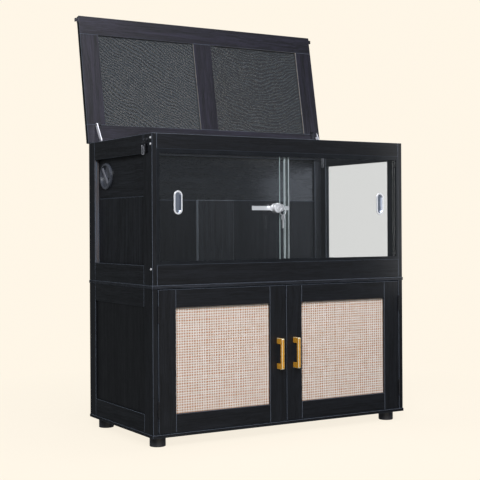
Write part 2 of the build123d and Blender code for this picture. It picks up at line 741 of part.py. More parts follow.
def lid_hook():
    """Hook plate on the lid's left end, modelled shut."""
    y, out, w = front + latch_back, left - hook_out, hook_w / 2
    z0, z1 = lid_z + 2, lid_z + 2 + strike_h
    hook = block(left - latch_t, left, y - strike_w / 2, y + strike_w / 2, z0, z1)
    hook += block(out, left - 1, y - w, y + w, z0 + 3, z0 + 5)
    return hook + block(out, out + latch_t, y - w, y + w, z0 + 3, z0 + 10)


def draw_latches():
    """A draw latch on each front post, and its hook on the lid."""
    for side, turn in (("left", lambda s: s), ("right", mirrored)):
        save(f"latch_{side}_lever", turn(latch_lever()))
        save(f"latch_{side}_bail", turn(latch_bail()))
    save("latch_bases", *[s for piece in latch_base() for s in both(piece)])
    save("lid_hooks", *[raised(h) for h in both(lid_hook())])


# ---- fasteners -------------------------------------------------------------------------
def screw(x, y, z):
    """Pan head on the left wall's outside, with its cross recess."""
    slot, reach = screw_t / 3.6, 0.6 * screw_r
    head = rod("X", x - screw_t / 2, y, z, screw_r, screw_t)
    cut = (x - screw_t - 0.2, x - screw_t / 2)
    head -= block(*cut, y - reach, y + reach, z - slot, z + slot)
    return head - block(*cut, y - slot, y + slot, z - reach, z + reach)


def screws():
    """Heads of the screws that hold the side frames to the front rails."""
    top = z_rim - screw_down
    heads = [screw(left, front + screw_in, z) for z in (top, top - screw_next, z_cab + screw_up)]
    save("frame_screws", *[s for h in heads for s in both(h)])


def main():
    os.makedirs("parts", exist_ok=True)
    cabinet()
    doors()
    box_frames()
    back_wall()
    left_wall()
    vent()
    tracks()
    glass_doors()
    lock()
    lid()
    lid_hinges()
    stays()
    draw_latches()
    screws()


main()
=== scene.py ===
"""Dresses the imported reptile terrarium: finishes, rattan weave, lid mesh, screws, light, camera.

Metres, in the row frame: +Z up, the front faces -Y, the floor is Z = 0.
"""

import json
import math
import random

import bpy
from mathutils import Matrix, Vector

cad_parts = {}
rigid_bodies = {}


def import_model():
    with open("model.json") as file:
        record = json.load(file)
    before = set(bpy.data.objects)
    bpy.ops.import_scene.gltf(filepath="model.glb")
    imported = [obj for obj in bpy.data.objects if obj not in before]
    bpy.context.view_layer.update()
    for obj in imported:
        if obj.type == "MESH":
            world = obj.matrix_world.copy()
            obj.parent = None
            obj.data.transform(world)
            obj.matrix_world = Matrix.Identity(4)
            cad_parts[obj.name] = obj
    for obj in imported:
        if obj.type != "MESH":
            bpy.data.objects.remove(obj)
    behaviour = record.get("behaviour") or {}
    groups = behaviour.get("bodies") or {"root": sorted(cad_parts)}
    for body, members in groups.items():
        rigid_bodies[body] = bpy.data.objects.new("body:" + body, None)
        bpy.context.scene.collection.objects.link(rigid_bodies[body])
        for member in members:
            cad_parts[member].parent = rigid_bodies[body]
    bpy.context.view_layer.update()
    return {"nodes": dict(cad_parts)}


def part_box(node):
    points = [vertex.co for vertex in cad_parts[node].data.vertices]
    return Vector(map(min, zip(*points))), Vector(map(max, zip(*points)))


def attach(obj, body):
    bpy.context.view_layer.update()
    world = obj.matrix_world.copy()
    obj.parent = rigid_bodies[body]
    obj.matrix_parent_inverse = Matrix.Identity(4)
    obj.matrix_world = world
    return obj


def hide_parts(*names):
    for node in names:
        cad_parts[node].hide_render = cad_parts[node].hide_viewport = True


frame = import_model()
NODES = frame["nodes"]
random.seed(7)

MM = 0.001
LEAN = math.radians(10.4)  # the raised lid leans back by this much

# colours, linear
CREAM = (1.0, 0.925, 0.80, 1.0)
LAMINATE_DARK = (0.0014, 0.0018, 0.0028, 1.0)
LAMINATE_LIGHT = (0.0120, 0.0134, 0.0172, 1.0)
LAMINATE_EDGE_HIGHLIGHT = (0.082, 0.096, 0.122, 1.0)
BATTEN_SIDE_HIGHLIGHT = (0.20, 0.22, 0.25, 1.0)
GRIP_HIGHLIGHT = (0.22, 0.22, 0.25, 1.0)
WORN_EDGE = (0.085, 0.068, 0.062, 1.0)
RAW_EDGE = (0.62, 0.54, 0.45, 1.0)
MESH_GREY = (0.010, 0.012, 0.014, 1.0)
GOLD = (0.90, 0.43, 0.045, 1.0)
GOLD_EDGE_HIGHLIGHT = (1.0, 0.90, 0.60, 1.0)
STEEL = (0.72, 0.73, 0.75, 1.0)
CHROME = (0.86, 0.87, 0.89, 1.0)
STRAND = (0.72, 0.67, 0.61, 1.0)
STRAND_WARM = (0.60, 0.53, 0.455, 1.0)
RATTAN_BACK = (0.56, 0.20, 0.06, 1.0)
LINING = (0.30, 0.22, 0.15, 1.0)
DISH_REFLECTION, RIM_HIGHLIGHT = (0.50, 0.54, 0.64, 1.0), (0.93, 0.94, 0.96, 1.0)  # of the finger pulls: a painted bluish reflection in the dish, a painted highlight on the rim

# laminate: depth of its grain, boards painted darker than the rest as painted shade and lighter as
# painted light, and how high the joint between the inner boards lies over the foot of the lower
# track
EMBOSS = 0.12 * MM
LIGHT_AND_SHADE_TONES = {
    "cabinet_side_panels": 0.45,
    "cabinet_side_posts": 0.8,
    "cabinet_side_rails": 0.8,
    "cabinet_top": 3.0,
    "back_battens": 1.8,
}
JOINT_OVER_TRACK = 211.35 * MM

# lid: widths of its stiles, and the bare edges round the mesh
SIDE_STILE, MIDDLE_STILE = 69.0 * MM, 73.0 * MM
RAW_DEPTH = 4.5 * MM  # how far the bare edges are seen
RAW_REACH = 4.0 * MM  # how far they go past the mesh's ends
STILE_END = 470.0 * MM  # past this, a board's end is an outer one

# lid mesh: its wires, how far they are tucked under the frame, and the painted moiré bands of
# sheen on them
WIRE_PITCH, WIRE_RADIUS, WIRE_TUCK = 1.6 * MM, 0.70 * MM, 6.0 * MM
WAVE_PITCH = 12.0 * MM

# rattan weave: wefts run across, and warps run up in pairs
RATTAN_BEAD = 9.0 * MM  # edge of the panel under the bead
CELL_WIDE, CELL_TALL = 8.7 * MM, 8.2 * MM
WEFT_WIDTH, WARP_WIDTH, WARP_SPLIT = 4.3 * MM, 2.0 * MM, 0.3 * MM
WEAVE_RISE, WEAVE_THICK, WEAVE_OFF = 0.4 * MM, 0.4 * MM, 0.15 * MM

# plastic and metal pieces
PULL_RIM = 5.0 * MM  # of a finger pull
GRIP_DEPTH = 2.2 * MM  # how deep the painted highlight on the vent's grip bar reaches
SEAL_RIB = 2.6 * MM  # white edge of the clear seal

# small screws that hold the hardware
SCREW_RADIUS, SCREW_SIDES = 3.0 * MM, 14
HINGE_LEAF = 1.3 * MM  # thickness of the lid's hinge leaves
HINGE_PLACES = (-330.0 * MM, 0.0, 330.0 * MM)  # the middles of the lid's hinges
HINGE_SCREW = 20.0 * MM  # from a hinge's middle to its screws
HINGE_Y = 208.779 * MM  # the lid's axis
BELOW_RIM, ABOVE_RIM = 18.0 * MM, 10.5 * MM  # hinge screws, in the wall and in the lid
LATCH_FACE = 484.0 * MM  # outer face of the latches' bases, from the middle
LATCH_SCREW = 9.0 * MM  # screws on both sides of a latch's middle
SCREW_INSET = 5.0 * MM  # from the end of a latch base or of a handle


# ---- node materials --------------------------------------------------------------------------
class Finish:
    """A material whose node tree is built one node at a time."""

    def __init__(self, name):
        self.material = bpy.data.materials.new(name)
        self.material.use_nodes = True
        self.tree = self.material.node_tree
        self.tree.nodes.clear()
        self.end = self.tree.nodes.new("ShaderNodeOutputMaterial")
        self.place = self.node("TexCoord").outputs["Object"]

    def node(self, kind, inputs=None, **settings):
        """Adds a node, with its settings, and its inputs as values or as links."""
        node = self.tree.nodes.new("ShaderNode" + kind)
        for key, value in settings.items():
            setattr(node, key, value)
        for key, value in (inputs or {}).items():
            if isinstance(value, bpy.types.NodeSocket):
                self.tree.links.new(value, node.inputs[key])
            else:
                node.inputs[key].default_value = value
        return node

    def math(self, operation, a, b=0.0, clamp=False):
        return self.node("Math", {0: a, 1: b}, operation=operation, use_clamp=clamp).outputs[0]

    def mix(self, share, a, b):
        """Colour a, turning into colour b with the share."""
        return self.node("Mix", {0: share, 6: a, 7: b}, data_type="RGBA").outputs[2]

    def blend(self, share, a, b):
        """Number a, turning into number b with the share."""
        return self.node("Mix", {0: share, 2: a, 3: b}).outputs[0]

    def spread(self, value, low, high, to_low=0.0, to_high=1.0):
        """The value's span from low to high, stretched to another span."""
        inputs = {0: value, 1: low, 2: high, 3: to_low, 4: to_high}
        return self.node("MapRange", inputs).outputs[0]

    def noise(self, scale, detail=2.0, roughness=0.5, place=None):
        """Noise with so many features to the metre, or with a number along each axis."""
        if not isinstance(scale, (tuple, list)):
            scale = (scale,) * 3
        shrunk = self.node("Mapping", {"Vector": place or self.place, "Scale": scale})
        inputs = {"Scale": 1.0, "Detail": detail, "Roughness": roughness}
        inputs["Vector"] = shrunk.outputs[0]
        return self.node("TexNoise", inputs).outputs["Fac"]

    def axis(self, name, vector=None):
        parts = self.node("SeparateXYZ", {0: vector or self.place})
        return parts.outputs[name]

    def over(self, value, limit):
        return self.math("GREATER_THAN", value, limit)

    def bump(self, height, strength, distance):
        inputs = {"Height": height, "Strength": strength, "Distance": distance}
        return self.node("Bump", inputs).outputs[0]

    def principled(self, inputs):
        self.done(self.node("BsdfPrincipled", inputs).outputs[0])
        return self.material

    def done(self, shader):
        self.tree.links.new(shader, self.end.inputs["Surface"])
        return self.material


def paint(material, *names):
    """Gives a material to CAD nodes or to pieces."""
    for name in names:
        piece = NODES.get(name) or bpy.data.objects[name]
        if not piece.data.materials:
            piece.data.materials.append(material)
        for slot in piece.material_slots:
            slot.material = material


# ---- black wood-grain laminate ---------------------------------------------------------------
def grain(t, along, shift, lean=0.0):
    """Fine streaks and broad bands drawn out along one axis, from 0 to 1."""
    place = t.node("VectorRotate", {"Vector": t.place, "Angle": lean}, rotation_type="X_AXIS")
    moved = t.node("Mapping", {"Vector": place.outputs[0], "Location": shift}).outputs[0]
    wander = t.noise(7.0, 1.0, place=moved)
    drift = t.node("CombineXYZ", {i: t.math("MULTIPLY", wander, 0.016) for i in range(3)})
    moved = t.node("VectorMath", {0: moved, 1: drift.outputs[0]}, operation="ADD").outputs[0]

    def drawn(across, length):
        return [length if axis == along else across for axis in "XYZ"]

    fibres = t.noise(drawn(330.0, 9.0), 4.0, 0.7, moved)
    pores = t.noise(drawn(1200.0, 50.0), 1.0, 0.5, moved)
    bands = t.noise(drawn(70.0, 2.5), 2.0, 0.5, moved)
    fibres = t.spread(fibres, 0.40, 0.64)
    pores = t.spread(pores, 0.52, 0.66)
    bands = t.spread(bands, 0.35, 0.65)
    both = t.math("ADD", t.math("MULTIPLY", fibres, 0.62), t.math("MULTIPLY", bands, 0.38))
    return t.math("SUBTRACT", both, t.math("MULTIPLY", pores, 0.30), clamp=True)


def bevelled(t, normal, flat=0.9):
    """1 on the softened edges of a board, 0 on its flat sides."""
    sides = [t.math("ABSOLUTE", t.axis(axis, normal)) for axis in "XYZ"]
    most = t.math("MAXIMUM", t.math("MAXIMUM", sides[0], sides[1]), sides[2])
    return t.over(flat, most)


def laminate(name, pattern, tone=1.0, rough=0.40, gloss=0.32, extra=None):
    """Black laminate with a painted highlight on its bevelled edges; pattern makes the grain, and
    extra may change colour, dullness, gloss.
    """
    t = Finish(name)
    streaks = pattern(t)
    light = [c * tone for c in LAMINATE_LIGHT[:3]] + [1.0]
    colour = t.mix(streaks, LAMINATE_DARK, light)
    # painted highlight on the board's softened edges
    colour = t.mix(bevelled(t, t.node("TexCoord").outputs["Normal"]), colour, LAMINATE_EDGE_HIGHLIGHT)
    scuffs = t.spread(t.noise(26.0, 3.0, 0.6), 0.45, 0.75, 0.0, 0.07)
    dull = t.spread(streaks, 0.0, 1.0, rough + 0.12, rough - 0.05)
    if extra:
        colour, dull, gloss = extra(t, colour, dull, gloss)
    return t.principled(
        {
            "Base Color": colour,
            "Roughness": t.math("ADD", dull, scuffs),
            "Specular IOR Level": gloss,
            "Normal": t.bump(streaks, 0.5, EMBOSS),
        }
    )


def plain_grain(along, shift, lean=0.0):
    return lambda t: grain(t, along, shift, lean)


def split_grain(axis, limit, low, high, shift, middle=None):
    """Grain along low up to a limit on an axis, or off its middle, and along high past it."""

    def pattern(t):
        side = t.axis(axis)
        if middle is not None:
            side = t.math("ABSOLUTE", t.math("SUBTRACT", side, middle))
        return t.blend(t.over(side, limit), grain(t, low, shift), grain(t, high, shift))

    return pattern


def sheen_above(level):
    """Smoother and glossier over a level."""

    def extra(t, colour, dull, gloss):
        past = t.over(t.axis("Z"), level)
        return colour, t.blend(past, 0.42, dull), t.blend(past, 0.2, gloss)

    return extra


def painted_batten_highlight(t, colour, dull, gloss):
    """Painted highlight on the sides of the battens, away from the middle."""
    normal = t.node("TexCoord").outputs["Normal"]
    front = t.over(0.9, t.math("ABSOLUTE", t.axis("Y", normal)))
    middle = t.over(0.1, t.math("ABSOLUTE", t.axis("X")))
    return t.mix(t.math("MULTIPLY", front, middle), colour, BATTEN_SIDE_HIGHLIGHT), dull, gloss


def reveal_light_and_wear(t, colour, dull, gloss):
    """Painted light on the rear post's edge beside the left wall's board, in streaks with brown
    wear.
    """
    facing = t.over(-0.9, t.axis("Y", t.node("TexCoord").outputs["Normal"]))
    low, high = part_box("left_wall_boards")
    behind = t.over(t.axis("Y"), (low.y + high.y) / 2)
    outside = t.over(low.x, t.axis("X"))
    share = t.math("MULTIPLY", t.math("MULTIPLY", facing, behind), outside)
    streak = t.spread(t.noise((420.0, 420.0, 6.0), 2.0), 0.42, 0.6)
    return t.mix(share, colour, t.mix(streak, LAMINATE_EDGE_HIGHLIGHT, WORN_EDGE)), dull, gloss


EXTRAS = {"back_battens": painted_batten_highlight, "terrarium_posts": reveal_light_and_wear}


def laminates():
    """Each board's grain runs along its length, and no two boards share a pattern."""
    runs = {
        "X": ("cabinet_base", "cabinet_top", "front_rails", "rear_rail", "terrarium_floor"),
        "Y": ("terrarium_side_rails", "cabinet_side_rails"),
        "Z": (
            "terrarium_posts",
            "cabinet_side_posts",
            "cabinet_side_panels",
            "cabinet_back",
            "back_battens",
        ),
    }
    for along, names in runs.items():
        for k, name in enumerate(names):
            shift = (0.31 * k, 0.17 * k + 0.05, 0.23 * k)
            pattern, extra = plain_grain(along, shift), EXTRAS.get(name)
            # tone: painted shade on the side boards, painted light on the cabinet top and the
            # battens
            tone = LIGHT_AND_SHADE_TONES.get(name, 1.0)
            paint(laminate("laminate_" + name, pattern, tone, extra=extra), name)

    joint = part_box("lower_track")[0].z + JOINT_OVER_TRACK
    pattern = split_grain("Z", joint, "Z", "X", (0.4, 0.1, 0.7))
    made = laminate("laminate_back_boards", pattern, 1.1, 0.17, 0.55, sheen_above(joint))
    paint(made, "back_boards")
    pattern = split_grain("Z", joint, "Z", "Y", (0.4, 0.1, 0.7))
    paint(laminate("laminate_left_wall", pattern, 1.3), "left_wall_boards")

    for side in ("left", "right"):
        low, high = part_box(f"door_{side}_rattan")
        middle, half = (low.x + high.x) / 2, (high.x - low.x) / 2 - RATTAN_BEAD
        pattern = split_grain("X", half, "X", "Z", (0.2, 0.3, 0.6), middle)
        paint(laminate(f"laminate_door_{side}", pattern), f"door_{side}_frame")


def upright(t, vector):
    """A place or a direction in the raised lid, with the lid's lean taken away."""
    inputs = {"Vector": vector, "Angle": LEAN}
    return t.node("VectorRotate", inputs, rotation_type="X_AXIS").outputs[0]


def bare_edges(t, name, facing):
    """1 on a lid board's cut edges that face the mesh, near the lid's underside."""
    cut = "X" if name == "lid_stiles" else "Z"
    edge = t.over(t.math("ABSOLUTE", t.axis(cut, facing)), 0.75)
    turn = Matrix.Rotation(LEAN, 3, "X")
    near = min((turn @ v.co).y for v in NODES[name].data.vertices)
    low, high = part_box("lid_mesh")
    limits = (
        t.over(near + RAW_DEPTH, t.axis("Y", upright(t, t.place))),
        t.over(STILE_END, t.math("ABSOLUTE", t.axis("X"))),
        t.over(t.axis("Z"), low.z - RAW_REACH),
        t.over(high.z + RAW_REACH, t.axis("Z")),
    )
    for limit in limits:
        edge = t.math("MULTIPLY", edge, limit)
    return edge


def lid_board(name, along):
    """Laminate of a lid board, painted lighter as painted sheen, with painted shade on its outer
    ends, a painted highlight on its bevels, and bare edges round the mesh.
    """
    t = Finish("laminate_" + name)
    streaks = grain(t, along, (0.9, 0.2, 0.4), LEAN)
    # lighter and more purple than the other boards' laminate: painted sheen
    light = [c * r for c, r in zip(LAMINATE_LIGHT, (2.3, 1.9, 2.4))] + [1.0]
    facing = upright(t, t.node("TexCoord").outputs["Normal"])
    black = t.mix(streaks, LAMINATE_DARK, light)
    # painted highlight on the bevels
    black = t.mix(bevelled(t, facing), black, LAMINATE_EDGE_HIGHLIGHT)
    # outer end faces painted dark: painted shade
    end = t.over(t.math("ABSOLUTE", t.axis("X", facing)), 0.75)
    inside = t.over(STILE_END, t.math("ABSOLUTE", t.axis("X")))
    end = t.math("SUBTRACT", end, inside, clamp=True)
    black = t.mix(end, black, LAMINATE_DARK)
    fray = t.spread(t.noise(420.0, 2.0), 0.35, 0.62)
    bare = t.mix(fray, LAMINATE_LIGHT, RAW_EDGE)
    return t.principled(
        {
            "Base Color": t.mix(bare_edges(t, name, facing), black, bare),
            "Roughness": t.spread(streaks, 0.0, 1.0, 0.50, 0.38),
            "Specular IOR Level": t.blend(end, 0.4, 0.1),
            "Normal": t.bump(streaks, 0.5, EMBOSS),
        }
    )


def lid_boards():
    for name, along in (("lid_rails", "X"), ("lid_stiles", "Z")):
        paint(lid_board(name, along), name)


# ---- glass, metal and plastic ----------------------------------------------------------------
def glass(name, tint, edge_colour, edge_axis):
    """Thin clear pane: a tinted view through it, its gloss, and its pale cut edges."""
    t = Finish(name)
    facing = t.node("LayerWeight", {"Blend": 0.5}).outputs["Facing"]
    mirror = t.math("MULTIPLY", t.math("POWER", facing, 5.0), 0.9)
    mirror = t.math("ADD", mirror, 0.035)
    ripple = t.bump(t.noise(3.0, 1.0), 0.04, 1.0 * MM)
    through = t.node("BsdfTransparent", {"Color": tint})
    gloss = t.node("BsdfGlossy", {"Roughness": 0.03, "Normal": ripple})
    face = t.node("MixShader", {0: mirror, 1: through.outputs[0], 2: gloss.outputs[0]})
    ground = t.spread(t.noise(240.0, 2.0), 0.3, 0.7, 0.18, 0.34)
    edge = t.node("BsdfPrincipled", {"Base Color": edge_colour, "Roughness": ground})
    edge = t.node("MixShader", {0: 0.6, 1: through.outputs[0], 2: edge.outputs[0]})
    normal = t.node("TexCoord").outputs["Normal"]
    on_face = t.over(t.math("ABSOLUTE", t.axis(edge_axis, normal)), 0.5)
    inputs = {0: on_face, 1: edge.outputs[0], 2: face.outputs[0]}
    return t.done(t.node("MixShader", inputs).outputs[0])


def metal(name, colour, rough, brushed=None, spots=0.0, pure=1.0, edge=None):
    """Metal with brush marks along an axis; less than pure is lacquered, so softer; edge paints a
    highlight on its bevelled edges.
    """
    t = Finish(name)
    cloud = t.spread(t.noise(60.0, 3.0), 0.3, 0.7, -0.04, 0.05)
    marks = t.noise([2600.0 if a != brushed else 60.0 for a in "XYZ"], 2.0)
    dull = t.math("ADD", t.math("MULTIPLY", marks, 0.10), rough - 0.05)
    deep = [c * 0.86 for c in colour[:3]] + [1.0]
    tint = t.mix(t.spread(marks, 0.3, 0.7), deep, colour)
    if edge:
        # painted highlight on the bevelled edges
        tint = t.mix(bevelled(t, t.node("TexCoord").outputs["Normal"], 0.985), tint, edge)
    return t.principled(
        {
            "Base Color": tint,
            "Metallic": pure,
            "Roughness": t.math("ADD", dull, cloud),
            "Normal": t.bump(marks, 0.08 + spots, 0.05 * MM),
        }
    )


def pull_chrome(side):
    """Finger pull: polished dish with a painted bluish reflection, inside a satin rim with a
    painted highlight.
    """
    t = Finish(f"pull_chrome_{side}")
    low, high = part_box(f"glass_{side}_pull")
    middle, half = (low + high) / 2, (high - low) / 2
    across = t.math("ABSOLUTE", t.math("SUBTRACT", t.axis("X"), middle.x))
    along = t.math("ABSOLUTE", t.math("SUBTRACT", t.axis("Z"), middle.z))
    past = t.math("MAXIMUM", t.math("SUBTRACT", along, half.z - half.x), 0.0)
    reach = t.node("CombineXYZ", {0: across, 1: past})
    reach = t.node("VectorMath", {0: reach.outputs[0]}, operation="LENGTH").outputs["Value"]
    rim = t.over(reach, half.x - PULL_RIM)
    wear = t.spread(t.noise(90.0, 3.0), 0.3, 0.7, -0.03, 0.04)
    return t.principled(
        {
            "Base Color": t.mix(rim, DISH_REFLECTION, RIM_HIGHLIGHT),
            "Metallic": t.blend(rim, 1.0, 0.55),
            "Roughness": t.math("ADD", t.blend(rim, 0.16, 0.36), wear),
        }
    )


def moulded(name, dark, light, rough, fine=900.0, gloss=0.5, proud=None):
    """Moulded plastic or rubber with a fine grain, and a painted highlight where it stands proud
    in X.
    """
    t = Finish(name)
    speckle = t.noise(fine, 3.0, 0.7)
    cloud = t.noise(30.0, 2.0)
    shade = t.math("ADD", t.math("MULTIPLY", speckle, 0.5), t.math("MULTIPLY", cloud, 0.5))
    colour = t.mix(t.spread(shade, 0.35, 0.65), dark, light)
    if proud is not None:
        # painted highlight where it stands proud
        colour = t.mix(t.over(proud, t.axis("X")), colour, GRIP_HIGHLIGHT)
    return t.principled(
        {
            "Base Color": colour,
            "Roughness": t.spread(speckle, 0.3, 0.7, rough - 0.06, rough + 0.08),
            "Specular IOR Level": gloss,
            "Normal": t.bump(speckle, 0.15, 0.12 * MM),
        }
    )


def seal_plastic():
    """Clear extruded seal: see-through web between two whiter ribs along its edges."""
    t = Finish("seal_plastic")
    low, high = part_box("glass_left_seal")
    middle, rib = (low.x + high.x) / 2, (high.x - low.x) / 2 - SEAL_RIB
    off = t.math("ABSOLUTE", t.math("SUBTRACT", t.axis("X"), middle))
    lines = t.noise((900.0, 900.0, 4.0), 1.0)
    share = t.blend(t.over(off, rib), 0.04, t.spread(lines, 0.3, 0.7, 0.45, 0.75))
    inputs = {"Base Color": (0.80, 0.86, 0.87, 1), "Roughness": 0.22}
    body = t.node("BsdfPrincipled", inputs)
    through = t.node("BsdfTransparent", {"Color": (0.93, 0.96, 0.95, 1)})
    inputs = {0: share, 1: through.outputs[0], 2: body.outputs[0]}
    paint(t.done(t.node("MixShader", inputs).outputs[0]), "glass_left_seal")


def glazing():
    """Sliding panes, side window and the clear seal."""
    green = (0.62, 0.77, 0.76, 1.0)
    panes = glass("float_glass", (0.965, 0.975, 0.975, 1), green, "Y")
    paint(panes, "glass_left_pane", "glass_right_pane")
    paint(glass("window_glass", (0.91, 0.94, 1.0, 1), green, "X"), "side_window")
    seal_plastic()


def plastics():
    """Tracks, vent and feet."""
    black_tones = (0.003, 0.004, 0.006, 1), (0.009, 0.011, 0.014, 1)
    black = moulded("black_plastic", *black_tones, 0.42, gloss=0.3)
    paint(black, "upper_track", "lower_track", "track_jambs")
    vent_tones = (0.030, 0.033, 0.042, 1), (0.095, 0.102, 0.125, 1)
    paint(moulded("vent_ring", *vent_tones, 0.22, gloss=1.0), "vent_bezel")
    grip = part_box("vent_shutter")[0].x + GRIP_DEPTH
    paint(moulded("vent_vane", *vent_tones, 0.30, gloss=1.0, proud=grip), "vent_shutter")
    foot_tones = (0.018, 0.018, 0.020, 1), (0.046, 0.045, 0.052, 1)
    paint(moulded("foot_plastic", *foot_tones, 0.34, 500.0), "feet")


def metals():
    """Lock, stays, latches, hinges, finger pulls and handles."""
    paint(metal("chrome", CHROME, 0.20, pure=0.55), "lock_body", "ratchet_bar")
    paint(metal("bright_steel", STEEL, 0.34, "Z", 0.1, 0.5), "lock_key", "key_ring")
    paint(metal("screw_zinc", (0.95, 0.95, 0.96, 1.0), 0.36, pure=0.3), "frame_screws")
    dark = metal("black_steel", (0.075, 0.076, 0.085, 1.0), 0.30)
    paint(dark, "lid_hinge_plates", "lid_hinge_leaves", "door_hinge_plates")
    paint(dark, "stay_wall_plates", "stay_lid_brackets", "latch_bases", "lid_hooks")
    # darker copy of the stays' steel for the lower links: painted shade beside the bright upper
    # links; the latches' bails share it
    dim = metal("dim_steel", (0.42, 0.42, 0.45, 1.0), 0.30, "Z", 0.1, 0.8)
    zinc = metal("zinc", (0.93, 0.92, 0.97, 1.0), 0.34, "Z", 0.1, 0.35)
    for side in ("left", "right"):
        paint(pull_chrome(side), f"glass_{side}_pull")
        paint(zinc, f"stay_{side}_upper_link")
        paint(dim, f"stay_{side}_lower_link", f"latch_{side}_bail")
        paint(dark, f"latch_{side}_lever", f"door_{side}_hinge_leaves")
        brass = metal(f"brass_{side}", GOLD, 0.24, "Z", 0.1, 0.35, GOLD_EDGE_HIGHLIGHT)
        paint(brass, f"door_{side}_handle")
    return dark


# ---- mesh helpers ----------------------------------------------------------------------------
def piece(name, points, faces, body, slot, smooth=False):
    """A mesh object in the row frame that rides on a body."""
    mesh = bpy.data.meshes.new(name)
    mesh.from_pydata(points, [], faces)
    mesh.update()
    if smooth:
        mesh.shade_smooth()
    made = bpy.data.objects.new(name, mesh)
    bpy.context.scene.collection.objects.link(made)
    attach(made, body)
    return made


def ribbon(points, faces, line, across, out, width, thick):
    """Adds a flat strand with bevelled sides along a line of points."""
    start, half = len(points), width / 2
    section = ((-half, -thick), (-0.6 * half, 0.0), (0.6 * half, 0.0), (half, -thick))
    for place in line:
        points.extend(place + across * s + out * h for s, h in section)
    for k in range(len(line) - 1):
        a = start + 4 * k
        faces.extend((a + j, a + j + 1, a + j + 5, a + j + 4) for j in range(3))


def bar(points, faces, a, b, radius, sides=6):
    """Adds a straight wire from a to b."""
    start, along = len(points), (b - a).normalized()
    turn = along.to_track_quat("Z", "Y").to_matrix()
    for end in (a, b):
        for k in range(sides):
            angle = 2 * math.pi * k / sides
            points.append(end + turn @ Vector((math.cos(angle), math.sin(angle), 0)) * radius)
    for k in range(sides):
        n = (k + 1) % sides
        faces.append((start + k, start + n, start + sides + n, start + sides + k))


# ---- screws ----------------------------------------------------------------------------------
def screw_head(points, faces, place, normal):
    """Adds a low pan head with a socket, standing on a face."""
    turn = Vector(normal).to_track_quat("Z", "Y").to_matrix()
    start, sides = len(points), SCREW_SIDES
    rings = ((1.0, 0.0), (0.94, 0.35), (0.70, 0.6), (0.36, 0.6), (0.30, 0.1))
    for share, rise in rings:
        for k in range(sides):
            angle = 2 * math.pi * k / sides
            flat = Vector((math.cos(angle), math.sin(angle), 0)) * share * SCREW_RADIUS
            points.append(Vector(place) + turn @ (flat + Vector((0, 0, rise * MM))))
    for ring in range(len(rings) - 1):
        for k in range(sides):
            a, b = start + ring * sides + k, start + ring * sides + (k + 1) % sides
            faces.append((a, b, b + sides, a + sides))
    faces.append(tuple(start + (len(rings) - 1) * sides + k for k in range(sides)))


def screw_group(name, heads, body, finish, slot="bright_steel"):
    points, faces = [], []
    for place, normal in heads:
        screw_head(points, faces, place, normal)
    paint(finish, piece(name, points, faces, body, slot).name)


def on_lid(place, normal):
    """A spot given on the shut lid, turned with it to its raised rest."""
    axis = Vector((0, HINGE_Y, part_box("left_wall_boards")[1].z))
    turn = Matrix.Rotation(-math.radians(90) - LEAN, 3, "X")
    return axis + turn @ (Vector(place) - axis), turn @ Vector(normal)


def hinge_heads():
    """Two screws in the wall and two in the lid for each of the lid's hinges."""
    rim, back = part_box("left_wall_boards")[1].z, (0, 1, 0)
    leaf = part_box("lid_hinge_plates")[0].y + HINGE_LEAF
    spots = [x + side * HINGE_SCREW for x in HINGE_PLACES for side in (-1, 1)]
    fixed = [((x, leaf, rim - BELOW_RIM), back) for x in spots]
    moving = [on_lid((x, leaf, rim + ABOVE_RIM), back) for x in spots]
    return fixed, moving


def latch_screws(finish):
    """Two screws at the top of each latch's base."""
    low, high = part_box("latch_bases")
    heads = []
    for side in (-1, 1):
        for off in (-LATCH_SCREW, LATCH_SCREW):
            place = (side * LATCH_FACE, (low.y + high.y) / 2 + off, high.z - SCREW_INSET)
            heads.append((place, (side, 0, 0)))
    screw_group("latch_screws", heads, "stand", finish, "black_steel")


def handle_screws(side, finish):
    """Screws that hold a handle, on the back of its door."""
    low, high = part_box(f"door_{side}_handle")
    x, back = (low.x + high.x) / 2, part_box(f"door_{side}_frame")[1].y
    heads = [((x, back, z), (0, 1, 0)) for z in (low.z + SCREW_INSET, high.z - SCREW_INSET)]
    screw_group(f"handle_{side}_screws", heads, f"door_{side}", finish)


def screws(dark):
    """Small screws of the hinges, the latches, dark as these are, and the handles."""
    finish = metal("screw_steel", STEEL, 0.36, pure=0.7)
    fixed, moving = hinge_heads()
    screw_group("hinge_screws", fixed, "stand", finish)
    latch_screws(dark)
    screw_group("lid_screws", moving, "lid", finish)
    for side in ("left", "right"):
        handle_screws(side, finish)


# ---- rattan ----------------------------------------------------------------------------------
def strand(name, drawn, pale):
    """Peeled cane with fibres drawn out along the strand."""
    t = Finish(name)
    tones = [[c * pale for c in tone[:3]] + [1.0] for tone in (STRAND_WARM, STRAND)]
    fibre = t.noise(drawn, 3.0, 0.65)
    patch = t.noise(38.0, 2.0)
    tone = t.math("ADD", t.math("MULTIPLY", fibre, 0.6), t.math("MULTIPLY", patch, 0.4))
    return t.principled(
        {
            "Base Color": t.mix(t.spread(tone, 0.38, 0.66), *tones),
            "Roughness": t.spread(fibre, 0.3, 0.7, 0.50, 0.72),
            "Sheen Weight": 0.15,
            "Normal": t.bump(fibre, 0.4, 0.15 * MM),
        }
    )


def web():
    """Panel behind the strands: warm bark in front, cloth lining inside."""
    t = Finish("rattan_web")
    tangle = t.noise(520.0, 3.0, 0.7)
    deep = [c * 0.55 for c in RATTAN_BACK[:3]] + [1.0]
    inside = t.over(t.axis("Y", t.node("TexCoord").outputs["Normal"]), 0.5)
    ground = t.mix(t.spread(tangle, 0.35, 0.65), deep, RATTAN_BACK)
    return t.principled(
        {
            "Base Color": t.mix(inside, ground, LINING),
            "Roughness": 0.8,
            "Normal": t.bump(tangle, 0.5, 0.3 * MM),
        }
    )


def sway(k, share):
    """How far strand number k wanders, at a share of its length."""
    return 0.3 * MM * math.sin(1.7 * k + 9.0 * share)


